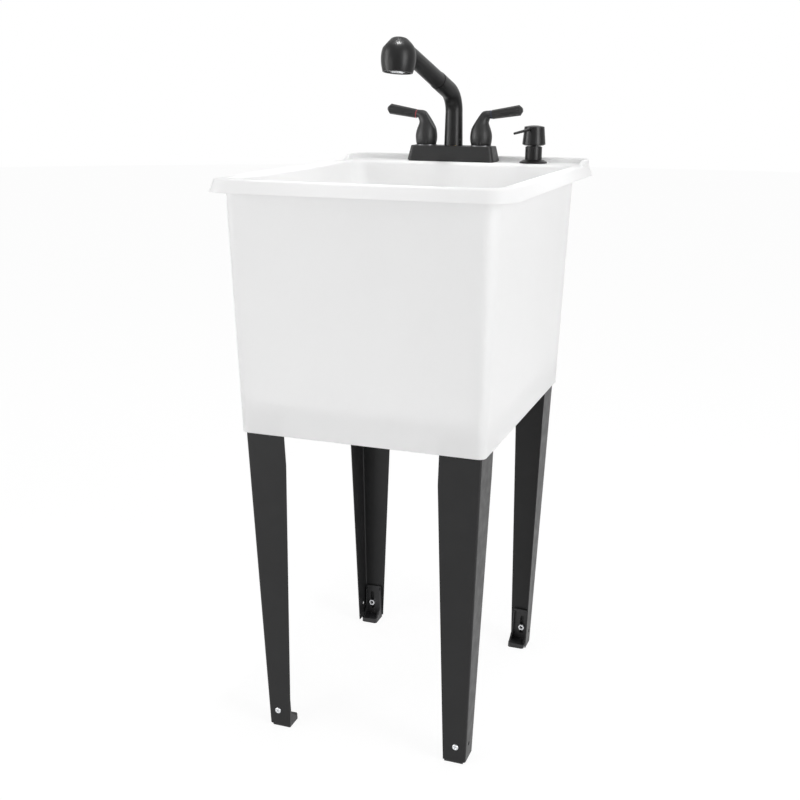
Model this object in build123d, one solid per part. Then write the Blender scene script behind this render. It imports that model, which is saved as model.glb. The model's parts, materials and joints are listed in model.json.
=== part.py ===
from build123d import *
from math import atan, cos, degrees, radians, sin, tan
import os

# Free-standing utility laundry sink: a moulded tub on four steel angle legs, with a pull-out
# centreset faucet and a deck-mounted soap dispenser.
# Millimetres. +Z up, +X to the user's right, the user stands at -Y.
# The origin is on the floor, under the centre of the tub's rim.

# ---------------------------------------------------------------- driving dimensions: tub
RIM_WIDTH = 451.0           # outside of the rim's lower edge, side to side
RIM_DEPTH = 597.0           # outside of the rim's lower edge, front to back
RIM_TOP = 883.5             # floor to the top of the rim
RIM_DROP = 18.5             # height of the rim's hanging skirt
RIM_FLARE = 7.0             # how far the skirt leans out over its height
RIM_CORNER = 38.0           # corner radius of the rim's lower edge
RIM_SHEET = 4.0             # thickness of the rim
RIM_EDGE = 3.5              # rounding of the rim's outer top edge
MOUTH_EDGE = 6.0            # rounding where the rim turns down into the basin

SIDE_OVERHANG = 22.3        # rim beyond each side wall, at the rim's lower edge
FRONT_OVERHANG = 20.6       # rim beyond the front wall
REAR_OVERHANG = 74.0        # rim beyond the back wall: the fixture deck
WALL_LEAN = 0.0364          # the walls' draft: inward per millimetre of drop
WALL_SHEET = 5.0
TUB_HEIGHT = 376.0          # rim's top to the tub's lower edge
CORNER_TOP = 22.0           # outside vertical corner radius at the rim
CORNER_BOTTOM = 11.0        # outside vertical corner radius at the lower edge
BASIN_CORNER = 24.0         # inside vertical corner radius
BASIN_FILLET = 20.0         # wall to basin floor
FLOOR_RAISE = 41.5          # tub's lower edge up to the basin floor where it meets the walls
FLOOR_FALL = 5.0            # fall of the basin floor to the drain
FLOOR_SHEET = 11.0          # basin floor at the walls
SKIRT_CORNER = 3.0          # inside corner radius of the skirt under the basin floor

LIP_HEIGHT = 9.0            # raised lip round the fixture deck
LIP_SHEET = 7.0
LIP_RAMP = 12.0             # slope at each front end of the lip
LIP_EDGE = 2.8
DECK_SHEET = 7.0            # thickness of the fixture deck
DECK_RIB = 4.0
DECK_RIB_DROP = 44.0
DECK_RIB_PLACES = (-150.0, 66.0, 178.0)

# ---------------------------------------------------------------- driving dimensions: legs and feet
LEG_SHEET = 1.6
LEG_WIDE = 63.0             # flange width in the socket and for a short way below it
LEG_NARROW = 36.0           # flange width at the lower end
LEG_LIFT = 4.0              # lower end of the steel above the floor
LEG_STRAIGHT = 48.0         # length below the tub before the taper starts
LEG_BEND = 4.0              # outside bend radius
LEG_FIT = 0.4               # clearance of a leg in its socket
SOCKET_RIB = 3.0
SOCKET_ARM = 52.0           # length of each arm of the socket rib

FOOT_SHEET = 4.0
FOOT_WIDTH = 30.0
FOOT_FROM_CORNER = 4.3      # near edge of the bracket from the leg's corner
FOOT_HEIGHT = 64.0
FOOT_TOE = 33.0             # reach of the toe pad from the flange
FOOT_PAD = 7.0              # thickness of the toe pad
FOOT_FIT = 0.4              # gap between the bracket and the steel
FOOT_RIDGE = 3.0            # width of the side ridges
FOOT_RIDGE_RISE = 4.5       # height of the side ridges above the plate
FOOT_TRIM = 2.0             # depth below the floor that is cut off level
FOOT_EXTEND = 19.0          # how far a foot slides out along its slot
FOOT_RETRACT = 10.0         # how far it slides in
BOLT_HEIGHT = 30.0
BOLT_FROM_CORNER = 16.5
BOLT_RADIUS = 3.0
BOLT_FIT = 0.3
BOLT_HEAD_RADIUS = 4.9
BOLT_HEAD = 2.6
NUT_ACROSS = 10.0
NUT_HEIGHT = 4.5

# ---------------------------------------------------------------- driving dimensions: drain
DRAIN_HOLE = 24.0           # radius of the hole in the basin floor
DRAIN_BODY = 23.4           # outside radius of the drain's threaded body
DRAIN_BORE = 20.4
DRAIN_LENGTH = 46.0         # threaded body below the flange
DRAIN_FLANGE = 34.0
DRAIN_FLANGE_SHEET = 2.5
DRAIN_BAR = 3.0             # width of the strainer's cross bars
SEAL_SHEET = 3.0
LOCKNUT_RADIUS = 33.0
LOCKNUT_HEIGHT = 9.0
TAILPIECE_RADIUS = 19.05    # 1 1/2 inch tube
TAILPIECE_SHEET = 1.6
TAILPIECE_LENGTH = 62.0
TAILPIECE_HUB = 20.2        # thicker end of the tube, held by the slip nut
TAILPIECE_HUB_LENGTH = 8.0
SLIP_NUT_RADIUS = 28.5
SLIP_NUT_HEIGHT = 16.0
STOPPER_GAP = 0.4

# ---------------------------------------------------------------- driving dimensions: faucet
FAUCET_X = -23.9            # the faucet stands left of centre to leave room for the dispenser
DECK_SETBACK = 44.0         # faucet and dispenser axes, in front of the rim's rear edge
HANDLE_SPREAD = 101.6       # 4 inch centres
BASE_LENGTH = 160.0
BASE_DEPTH = 53.0
BASE_CORNER = 9.0
BASE_TAPER = 5.5            # how far each side leans in over the height
BASE_HEIGHT = 25.5
BASE_EDGE = 1.5
PAD_SHEET = 1.5             # gasket under the base
PAD_INSET = 2.0
SHANK_RADIUS = 10.4         # 1/2 inch pipe thread that takes the supply hose
SHANK_END = 24.0            # length of that thread
SHANK_SEAT = 11.2           # radius above it, through the nut and the deck
SHANK_BORE = 6.5
SHANK_LENGTH = 50.0         # below the deck's top
SHANK_HOLE = 16.0
VALVE_RADIUS = 13.0
SHANK_NUT_RADIUS = 19.0
SHANK_NUT_HEIGHT = 9.0
STEM_RADIUS = 4.0
STEM_FIT = 0.05
COLLAR_SHEET = 1.2          # bright ring under each handle
COLLAR_RADIUS = 18.6
HANDLE_GAP = 0.4
# Round foot of a handle: (radius, height above the foot)
HANDLE_RINGS = ((17.4, 0.0), (18.9, 6.5), (19.4, 13.0), (19.0, 19.0))
NECK_RADIUS = 7.6           # neck where it meets the ring
RING_OUT = 18.0             # ring centre outward of the stem
RING_RISE = 52.4            # and above the handle's foot
RING_SHEET = 1.8
RING_INSET = 0.4            # ring inside the neck's outline
# Sections between foot and neck: (outward, up) of the back point and of the front point
NECK_SECTIONS = (((-13.2, 38.5), (13.4, 36.5)), ((-7.6, 48.0), (13.2, 39.5)), ((-0.6, 55.6), (14.0, 42.0)))
BEVEL_FOOT = (-19.3, 23.1)  # flat down the handle's back: its lower end, outward and up
BEVEL_HEAD = (3.2, 58.9)    # and its upper end
LEVER_RISE = 9.1            # degrees that the lever climbs
LEVER_LENGTH = 56.4         # from the neck to the tip
LEVER_ROOT = 14.4           # across flats at the ring
LEVER_TIP = 16.8            # across flats at the tip
LEVER_POINT = 6.4           # across flats of the end face
LEVER_CHAMFER = 5.0         # length of the pointed end

SPOUT_SWING = 8.3           # degrees that the spout stands left of straight ahead
SPOUT_FOOT = 16.5           # column radius at the base
SPOUT_RADIUS = 15.2         # column radius at the bend
SPOUT_CLIMB = 20.6          # climb of the arm, degrees
SPOUT_RISE = 113.15         # from the rim's top to where the arm's axis meets the column's
SPOUT_BEND = 40.0           # centre-line radius of the bend
SPOUT_GAP = 0.3
SPOUT_ARM = 72.4            # from the column's axis along the arm to the wand's seam
SPOUT_MOUTH = 15.1          # radius of the spout at the seam
BUSH_RADIUS = 12.0
BUSH_BORE = 9.0
BUSH_RISE = 34.0
BUSH_FIT = 0.05
SPIGOT_RADIUS = 11.6
SPIGOT_LENGTH = 40.0
SPIGOT_FIT = 0.08
SEAM_GAP = 0.5

WAND_SEAM = 14.4            # wand radius at the seam
WAND_NECK = 13.4            # wand radius where it starts to dip into the head
WAND_NECK_PLACE = 176.0     # that place, out from the column's axis
WAND_TIP = 11.0             # wand radius inside the head
WAND_DIP = 13.0             # how far the wand's end dips below the arm's line
HEAD_REACH = 209.0          # head centre, out from the column's axis
HEAD_TILT = 7.0             # the head's mouth points this much outward, degrees
HEAD_RISE = 148.4           # from the rim's top to the middle of the head's mouth
HEAD_BELLY = 25.5           # height of the widest place above the mouth
HEAD_HEIGHT = 55.0
HEAD_OUTLINE = ((24.2, 0), (27.2, 12), (28.1, HEAD_BELLY), (23.6, 41.5), (16.2, 49.4), (0, HEAD_HEIGHT))
FACE_RECESS = 1.4
SPRAY_RADIUS = 21.5
SPRAY_SHEET = 3.0
AERATOR_RADIUS = 11.5
BUTTON_RADIUS = 7.6
BUTTON_FIT = 0.3
BUTTON_TRAVEL = 2.0
BUTTON_DEPTH = 5.0
BUTTON_LEFT = 52.0          # degrees left of the spout's own direction
BUTTON_UP = 40.0            # degrees up
FACET_OUT = 27.2            # flat round the button, from the head's middle

# ---------------------------------------------------------------- driving dimensions: soap dispenser
SOAP_X = 122.5
SOAP_FLANGE = 24.3
SOAP_FLANGE_SHEET = 2.5
SOAP_DOME = 4.0
SOAP_COLLAR = 14.6
SOAP_COLLAR_RISE = 28.0
SOAP_SHANK = 12.4
SOAP_SHANK_SHEET = 2.0
SOAP_SHANK_DROP = 50.0
SOAP_HOLE = 14.0
SOAP_NUT_RADIUS = 20.0
SOAP_NUT_HEIGHT = 9.0
SOAP_FIT = 0.08
BOTTLE_RADIUS = 27.0
BOTTLE_HEIGHT = 130.0
BOTTLE_NECK = 16.0
BOTTLE_NECK_HEIGHT = 20.0
BOTTLE_SHEET = 1.6
PUMP_RADIUS = 10.3
PUMP_BORE = 8.5
PUMP_FLOOR = 4.0
PUMP_CAP_SHEET = 1.0
PUMP_DROP = 76.0            # pump cylinder below the deck's top
PISTON_HEIGHT = 6.0
SPRING_WIRE = 0.7           # wire radius
SPRING_TURNS = 5
SPRING_HEIGHT = 24.0
PLUNGER_RADIUS = 3.9
PUMP_STROKE = 15.0
PUMP_GAP = 2.2              # head's skirt above the collar
PUMP_SKIRT = 20.2
PUMP_BEVEL = (4.0, 2.0)     # bevel under the head's skirt: inward and up
PUMP_CROWN = 17.3
PUMP_HEAD_HEIGHT = 31.8
PUMP_HEAD_DOME = 2.3
SKIRT_FIT = 1.8             # gap round the collar inside the head's skirt
NOZZLE_RADIUS = 2.7         # at the head
NOZZLE_TIP = 2.0            # at the mouth
NOZZLE_REACH = 73.0
NOZZLE_LEFT = 14.0          # degrees left of straight ahead
NOZZLE_DROP = 5.6           # degrees downhill
NOZZLE_BELOW = 2.5          # nozzle axis below the crown at the head's axis
DIP_RADIUS = 2.5

# ---------------------------------------------------------------- derived places
RIM_LOW = RIM_TOP - RIM_DROP
WALL_WIDTH = RIM_WIDTH - 2 * SIDE_OVERHANG
WALL_DEPTH = RIM_DEPTH - FRONT_OVERHANG - REAR_OVERHANG
TUB_BOTTOM = RIM_TOP - TUB_HEIGHT
BASIN_FLOOR = TUB_BOTTOM + FLOOR_RAISE
FLOOR_UNDERSIDE = BASIN_FLOOR - FLOOR_SHEET
WALL_CENTRE = FRONT_OVERHANG + WALL_DEPTH / 2 - RIM_DEPTH / 2
BASIN_BACK = WALL_CENTRE + WALL_DEPTH / 2 - WALL_SHEET
LIP_FRONT = BASIN_BACK - MOUTH_EDGE
TAPER_START = TUB_BOTTOM - LEG_STRAIGHT
DRAIN_SEAT = BASIN_FLOOR - FLOOR_FALL
DRAIN_PLACE = Pos(0, WALL_CENTRE, 0)
DECK_LINE = RIM_DEPTH / 2 - DECK_SETBACK
BASE_TOP = RIM_TOP + PAD_SHEET + BASE_HEIGHT
SPOUT_CROSSING = RIM_TOP + SPOUT_RISE
HEAD_FACE = RIM_TOP + HEAD_RISE
HANDLE_SEAT = BASE_TOP + COLLAR_SHEET + HANDLE_GAP
FAUCET_PLACE = Pos(FAUCET_X, DECK_LINE, 0)
SOAP_PLACE = Pos(SOAP_X, DECK_LINE, 0)

PARTS = {}


def keep(name, shape):
    """Store a finished piece under its node name."""
    PARTS[name] = shape
    return shape


def disc(radius, low, high, bore=0.0):
    """Upright cylinder or ring between two heights."""
    ring = Circle(radius)
    if bore > 0:
        ring -= Circle(bore)
    return extrude(Pos(0, 0, low) * ring, high - low)


def turned(points):
    """Solid turned about Z from a profile given as (radius, height) points."""
    face = make_face(Polyline(*[(r, 0, z) for r, z in points], close=True))
    return revolve(face, Axis.Z)


def hexagon(across, low, high, bore):
    """Hexagonal nut between two heights."""
    blank = extrude(Pos(0, 0, low) * RegularPolygon(across / 2, 6, major_radius=False), high - low)
    return blank - disc(bore, low, high)


# ---------------------------------------------------------------- tub
def rim_section(height, inset=0.0):
    """Plan outline of the flared rim at a height, moved inward by an inset."""
    shrink = RIM_FLARE * (height - RIM_LOW) / RIM_DROP + inset
    outline = RectangleRounded(RIM_WIDTH - 2 * shrink, RIM_DEPTH - 2 * shrink, RIM_CORNER - shrink)
    return Pos(0, 0, height) * outline


def wall_section(height, inset, corner):
    """Plan outline of the tapered walls at a height, moved inward by an inset."""
    shrink = WALL_LEAN * (RIM_LOW - height) + inset
    outline = RectangleRounded(WALL_WIDTH - 2 * shrink, WALL_DEPTH - 2 * shrink, corner)
    return Pos(0, WALL_CENTRE, height) * outline


def between(section, low, high, *options):
    """Straight-sided solid between one outline at two heights."""
    return loft([section(low, *options), section(high, *options)], ruled=True)


def corner_places():
    """The four corners: name, side (-1 left, 1 right) and end (-1 front, 1 rear)."""
    return (("front_left", -1, -1), ("front_right", 1, -1), ("rear_left", -1, 1), ("rear_right", 1, 1))


def to_corner(shape, side, end):
    """Turn a front-left shape, drawn about the walls' centre, into one of the four corners."""
    if side > 0:
        shape = mirror(shape, about=Plane.YZ)
    if end > 0:
        shape = mirror(shape, about=Plane.XZ)
    return Pos(0, WALL_CENTRE, 0) * shape


def corner_point(height, inset):
    """Outer corner of the front-left angle at a height, about the walls' centre."""
    shrink = WALL_LEAN * (RIM_LOW - height) + inset
    return shrink - WALL_WIDTH / 2, shrink - WALL_DEPTH / 2


def angle_section(height, inset, arm, sheet, bend):
    """L-shaped section that follows the walls' draft, for the front-left corner."""
    outline = Polygon((0, 0), (arm, 0), (arm, sheet), (sheet, sheet), (sheet, arm), (0, arm), align=None)
    outer = outline.vertices().sort_by_distance((0, 0, 0))[0]
    outline = fillet(outer, bend)
    if bend > sheet:
        inner = outline.vertices().sort_by_distance((sheet, sheet, 0))[0]
        outline = fillet(inner, bend - sheet)
    x, y = corner_point(height, inset)
    return Pos(x, y, height) * outline


def angle_bar(low, high, inset, arm_low, arm_high, sheet, bend):
    """Straight length of leaning angle between two heights."""
    lower = angle_section(low, inset, arm_low, sheet, bend)
    upper = angle_section(high, inset, arm_high, sheet, bend)
    return loft([lower, upper], ruled=True)


def rim_and_deck():
    """Hollow flared rim with its thicker fixture deck at the back."""
    rim = between(rim_section, RIM_LOW, RIM_TOP)
    rim = fillet(rim.faces().sort_by(Axis.Z)[-1].edges(), RIM_EDGE)
    hollow = between(rim_section, RIM_LOW - 1, RIM_TOP - RIM_SHEET, RIM_SHEET)
    deck_depth = RIM_DEPTH / 2 - BASIN_BACK
    deck = Pos(0, BASIN_BACK + deck_depth / 2, RIM_TOP - DECK_SHEET / 2)
    deck = deck * Box(RIM_WIDTH, deck_depth, DECK_SHEET)
    return rim - (hollow - deck)


def lip():
    """Raised lip along the back of the deck and round both rear corners."""
    seat = RIM_TOP - RIM_EDGE
    crest = RIM_TOP + LIP_HEIGHT
    ring = between(rim_section, seat, RIM_TOP) + extrude(rim_section(RIM_TOP), LIP_HEIGHT)
    ring -= extrude(Pos(0, 0, -RIM_EDGE) * rim_section(RIM_TOP, LIP_SHEET), RIM_EDGE + LIP_HEIGHT)
    back = RIM_DEPTH / 2
    side_view = Plane.YZ * Polygon(
        (LIP_FRONT, seat), (LIP_FRONT, RIM_TOP), (LIP_FRONT + LIP_RAMP, crest), (back, crest), (back, seat),
        align=None)
    ring = ring & extrude(side_view, RIM_WIDTH / 2, both=True)
    return fillet(ring.faces().sort_by(Axis.Z)[-1].edges(), LIP_EDGE)


def deck_ribs():
    """Gussets that carry the overhanging deck from the back wall."""
    top = RIM_TOP - DECK_SHEET
    root = BASIN_BACK + WALL_SHEET / 2
    tip = RIM_DEPTH / 2 - RIM_FLARE - RIM_SHEET
    outline = Plane.YZ * Polygon((root, top), (tip, top), (root, top - DECK_RIB_DROP), align=None)
    rib = extrude(outline, DECK_RIB / 2, both=True)
    return [Pos(x, 0, 0) * rib for x in DECK_RIB_PLACES]


def basin_cavity():
    """The space inside the basin: tapered walls, rounded floor corners, floor falling to the drain."""
    above = RIM_TOP + MOUTH_EDGE
    cavity = between(wall_section, BASIN_FLOOR, above, WALL_SHEET, BASIN_CORNER)
    cavity = fillet(cavity.faces().sort_by(Axis.Z)[0].edges(), BASIN_FILLET)
    rim_of_fall = wall_section(BASIN_FLOOR, WALL_SHEET + BASIN_FILLET, BASIN_CORNER)
    drain_end = Pos(0, WALL_CENTRE, DRAIN_SEAT) * Circle(DRAIN_FLANGE)
    return cavity + loft([drain_end, rim_of_fall], ruled=True)


def make_tub():
    lower_edge = wall_section(TUB_BOTTOM, 0, CORNER_BOTTOM)
    shell = loft([lower_edge, wall_section(RIM_TOP, 0, CORNER_TOP)], ruled=True)
    shell = shell - between(wall_section, TUB_BOTTOM - 1, FLOOR_UNDERSIDE, WALL_SHEET, SKIRT_CORNER)
    tub = shell + rim_and_deck() + deck_ribs()
    tub = tub - basin_cavity()
    mouth = tub.edges().filter_by_position(Axis.Z, RIM_TOP - 0.01, RIM_TOP + 0.01)
    mouth = [edge for edge in mouth if abs(edge.center().X) < WALL_WIDTH / 2]
    mouth = [edge for edge in mouth if abs(edge.center().Y - WALL_CENTRE) < WALL_DEPTH / 2]
    tub = fillet(mouth, MOUTH_EDGE) + lip()
    inset = WALL_SHEET + LEG_FIT + LEG_SHEET + LEG_FIT
    bend = LEG_BEND - LEG_SHEET
    rib_low = TUB_BOTTOM + WALL_SHEET
    rib = angle_bar(rib_low, FLOOR_UNDERSIDE, inset, SOCKET_ARM, SOCKET_ARM, SOCKET_RIB, bend)
    for _, side, end in corner_places():
        tub += to_corner(rib, side, end)
    boss = disc(DRAIN_FLANGE + SEAL_SHEET, FLOOR_UNDERSIDE - SEAL_SHEET, DRAIN_SEAT - DRAIN_FLANGE_SHEET)
    recess = disc(DRAIN_FLANGE, DRAIN_SEAT - DRAIN_FLANGE_SHEET, DRAIN_SEAT)
    hole = disc(DRAIN_HOLE, FLOOR_UNDERSIDE - 2 * SEAL_SHEET, DRAIN_SEAT)
    tub = tub + DRAIN_PLACE * boss - DRAIN_PLACE * (recess + hole)
    for x in (-HANDLE_SPREAD / 2, 0, HANDLE_SPREAD / 2):
        tub -= FAUCET_PLACE * Pos(x, 0, 0) * disc(SHANK_HOLE, RIM_TOP - 2 * DECK_SHEET, RIM_TOP + 1)
    tub -= SOAP_PLACE * disc(SOAP_HOLE, RIM_TOP - 2 * DECK_SHEET, RIM_TOP + 1)
    keep("tub", tub)


# ---------------------------------------------------------------- legs and feet
def foot_frame():
    """Local frame of the front-left foot: at the bolt's height on the flange's inner face."""
    x, y = corner_point(BOLT_HEIGHT, WALL_SHEET + LEG_FIT)
    return x + BOLT_FROM_CORNER, y


def leg_holes():
    """Bolt hole through each flange of the front-left leg."""
    x, y = corner_point(BOLT_HEIGHT, WALL_SHEET + LEG_FIT)
    bore = BOLT_RADIUS + BOLT_FIT
    front = Pos(x + BOLT_FROM_CORNER, y, BOLT_HEIGHT) * Rot(90, 0, 0) * Cylinder(bore, 6 * LEG_SHEET)
    side = Pos(x, y + BOLT_FROM_CORNER, BOLT_HEIGHT) * Rot(0, 90, 0) * Cylinder(bore, 6 * LEG_SHEET)
    return front + side


def make_legs():
    inset = WALL_SHEET + LEG_FIT
    taper = angle_bar(LEG_LIFT, TAPER_START, inset, LEG_NARROW, LEG_WIDE, LEG_SHEET, LEG_BEND)
    upper = angle_bar(TAPER_START, FLOOR_UNDERSIDE, inset, LEG_WIDE, LEG_WIDE, LEG_SHEET, LEG_BEND)
    leg = taper + upper - leg_holes()
    for name, side, end in corner_places():
        keep("leg_" + name, to_corner(leg, side, end))


def foot_bracket():
    """Slotted plastic bracket with side ridges and a toe pad, drawn upright at the origin.

    X runs along the flange, Y away from its inner face, Z up from the floor.
    """
    near = FOOT_FROM_CORNER - BOLT_FROM_CORNER
    middle = near + FOOT_WIDTH / 2
    height = FOOT_HEIGHT + FOOT_TRIM
    pad = FOOT_PAD + FOOT_TRIM
    plate = Pos(middle, FOOT_SHEET / 2, FOOT_HEIGHT - height / 2) * Box(FOOT_WIDTH, FOOT_SHEET, height)
    plate = fillet(plate.edges().filter_by(Axis.Y).group_by(Axis.Z)[-1], 3.0)
    toe = Pos(middle, FOOT_TOE / 2, FOOT_PAD - pad / 2) * Box(FOOT_WIDTH, FOOT_TOE, pad)
    toe = fillet(toe.edges().filter_by(Axis.Z).group_by(Axis.Y)[-1], 5.0)
    crest = FOOT_SHEET + FOOT_RIDGE_RISE
    shoulder = FOOT_HEIGHT - FOOT_RIDGE
    web = Plane.YZ * Polygon(
        (0, 0), (FOOT_TOE - crest, 0), (FOOT_TOE - crest, FOOT_PAD), (crest, 3 * FOOT_PAD),
        (crest, shoulder - FOOT_RIDGE_RISE), (FOOT_SHEET, shoulder), (0, shoulder), align=None)
    ridge = extrude(web, FOOT_RIDGE)
    slot_low = BOLT_HEIGHT - FOOT_RETRACT
    slot_high = BOLT_HEIGHT + FOOT_EXTEND
    slot = SlotCenterToCenter(slot_high - slot_low, 2 * (BOLT_RADIUS + BOLT_FIT), rotation=90)
    slot = extrude(Plane.XZ * Pos(0, (slot_low + slot_high) / 2) * slot, 2 * FOOT_SHEET, both=True)
    bracket = plate + toe + Pos(near, 0, 0) * ridge + Pos(near + FOOT_WIDTH - FOOT_RIDGE, 0, 0) * ridge
    return bracket - slot


def on_leg(shape, gap=0.0):
    """Lean an upright shape to the front-left leg's flange, a gap off its inner face."""
    lean = degrees(atan(WALL_LEAN))
    x, y = foot_frame()
    hold = Pos(x, y + LEG_SHEET + gap, BOLT_HEIGHT) * Rot(lean, -lean, 0) * Pos(0, 0, -BOLT_HEIGHT)
    return hold * shape


def make_feet():
    floor_half = 2 * (RIM_WIDTH + RIM_DEPTH)
    below = Pos(0, 0, -floor_half / 2) * Box(floor_half, floor_half, floor_half)
    foot = on_leg(foot_bracket(), FOOT_FIT) - below
    stack = LEG_SHEET + FOOT_FIT + FOOT_SHEET
    along = Rot(90, 0, 0)
    head = Pos(0, -LEG_SHEET - BOLT_HEAD / 2, BOLT_HEIGHT) * along * Cylinder(BOLT_HEAD_RADIUS, BOLT_HEAD)
    head = fillet(head.edges().group_by(Axis.Y)[0], BOLT_HEAD / 3)
    reach = stack + NUT_HEIGHT + 1
    shaft = Pos(0, reach / 2 - LEG_SHEET, BOLT_HEIGHT) * along * Cylinder(BOLT_RADIUS, reach)
    nut = RegularPolygon(NUT_ACROSS / 2, 6, major_radius=False) - Circle(BOLT_RADIUS)
    nut = extrude(Pos(0, stack - LEG_SHEET, BOLT_HEIGHT) * Rot(-90, 0, 0) * nut, NUT_HEIGHT)
    bolts = Part()
    nuts = Part()
    for name, side, end in corner_places():
        keep("foot_" + name, to_corner(foot, side, end))
        bolts += to_corner(on_leg(head + shaft), side, end)
        nuts += to_corner(on_leg(nut), side, end)
    keep("foot_bolts", bolts)
    keep("foot_nuts", nuts)


# ---------------------------------------------------------------- drain
def make_drain():
    flange_low = DRAIN_SEAT - DRAIN_FLANGE_SHEET
    body_low = flange_low - DRAIN_LENGTH
    flange = disc(DRAIN_FLANGE - 0.2, flange_low, DRAIN_SEAT) + disc(DRAIN_BODY, body_low, flange_low)
    flange -= disc(DRAIN_BORE, body_low, DRAIN_SEAT)
    seat = turned([
        (0, DRAIN_SEAT), (DRAIN_BORE + 3, DRAIN_SEAT), (DRAIN_BORE, DRAIN_SEAT - 6), (0, DRAIN_SEAT - 6)])
    flange -= seat
    bar = Pos(0, 0, flange_low - 14) * Box(2 * DRAIN_BORE + 1, DRAIN_BAR, DRAIN_BAR)
    flange += bar + Rot(0, 0, 90) * bar
    keep("drain_flange", DRAIN_PLACE * flange)

    boss_low = FLOOR_UNDERSIDE - SEAL_SHEET
    seal = disc(LOCKNUT_RADIUS, boss_low - SEAL_SHEET, boss_low, DRAIN_BODY + 0.1)
    keep("drain_seal", DRAIN_PLACE * seal)
    nut_high = boss_low - SEAL_SHEET
    locknut = disc(LOCKNUT_RADIUS, nut_high - LOCKNUT_HEIGHT, nut_high, DRAIN_BODY + 0.1)
    lug = Pos(LOCKNUT_RADIUS, 0, nut_high - LOCKNUT_HEIGHT / 2) * Box(8, 7, LOCKNUT_HEIGHT)
    for turn in range(6):
        locknut += Rot(0, 0, 60 * turn) * lug
    locknut -= disc(DRAIN_BODY + 0.1, nut_high - LOCKNUT_HEIGHT, nut_high)
    keep("drain_locknut", DRAIN_PLACE * locknut)

    collar_low = body_low - 2.0
    tail_low = collar_low - TAILPIECE_LENGTH
    bore = TAILPIECE_RADIUS - TAILPIECE_SHEET
    hub_low = collar_low - TAILPIECE_HUB_LENGTH
    tail = disc(TAILPIECE_RADIUS, tail_low, hub_low) + disc(TAILPIECE_HUB, hub_low, collar_low)
    tail += disc(DRAIN_BODY, collar_low, body_low)
    tail -= disc(bore, tail_low, body_low)
    keep("tailpiece", DRAIN_PLACE * tail)
    nut_low = collar_low - 4.0
    slip = disc(SLIP_NUT_RADIUS, nut_low, nut_low + SLIP_NUT_HEIGHT)
    flute = Pos(SLIP_NUT_RADIUS + 1.2, 0, nut_low + SLIP_NUT_HEIGHT / 2) * Cylinder(2.4, SLIP_NUT_HEIGHT)
    for turn in range(12):
        slip -= Rot(0, 0, 30 * turn) * flute
    slip -= disc(TAILPIECE_HUB + 0.1, nut_low, collar_low)
    slip -= disc(DRAIN_BODY + 0.1, collar_low, nut_low + SLIP_NUT_HEIGHT)
    keep("slip_nut", DRAIN_PLACE * slip)

    low = DRAIN_SEAT - 6 + STOPPER_GAP
    top_radius = DRAIN_BORE + 3 - STOPPER_GAP
    top = DRAIN_SEAT + 2
    stopper = turned([
        (0, low), (DRAIN_BORE - STOPPER_GAP, low), (top_radius, DRAIN_SEAT), (top_radius, top), (0, top)])
    loop = Pos(0, 0, DRAIN_SEAT + 8) * Rot(90, 0, 0) * Torus(7.0, 1.6)
    stopper += loop + disc(3.5, DRAIN_SEAT + 1, DRAIN_SEAT + 3)
    keep("drain_stopper", DRAIN_PLACE * stopper)


# ---------------------------------------------------------------- faucet base and valves
def make_faucet_base():
    lower = Pos(0, 0, RIM_TOP + PAD_SHEET) * RectangleRounded(BASE_LENGTH, BASE_DEPTH, BASE_CORNER)
    top_outline = RectangleRounded(BASE_LENGTH - 2 * BASE_TAPER, BASE_DEPTH - 2 * BASE_TAPER, BASE_CORNER - 2)
    base = loft([lower, Pos(0, 0, BASE_TOP) * top_outline], ruled=True)
    base = fillet(base.faces().sort_by(Axis.Z)[-1].edges(), BASE_EDGE)
    pad_length = BASE_LENGTH - 2 * PAD_INSET
    pad_depth = BASE_DEPTH - 2 * PAD_INSET
    pad_outline = RectangleRounded(pad_length, pad_depth, BASE_CORNER - PAD_INSET)
    pad = extrude(Pos(0, 0, RIM_TOP) * pad_outline, PAD_SHEET)
    for x in (-HANDLE_SPREAD / 2, HANDLE_SPREAD / 2):
        base -= Pos(x, 0, 0) * disc(VALVE_RADIUS + 0.1, RIM_TOP, BASE_TOP)
        pad -= Pos(x, 0, 0) * disc(VALVE_RADIUS, RIM_TOP, BASE_TOP)
    base -= disc(BUSH_RADIUS, RIM_TOP, BASE_TOP)
    pad -= disc(BUSH_RADIUS, RIM_TOP, BASE_TOP)
    keep("faucet_base", FAUCET_PLACE * base)
    keep("faucet_gasket", FAUCET_PLACE * pad)
    bush = disc(BUSH_RADIUS, RIM_TOP + PAD_SHEET, BASE_TOP + BUSH_RISE, BUSH_BORE)
    keep("spout_bush", FAUCET_PLACE * bush)


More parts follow.
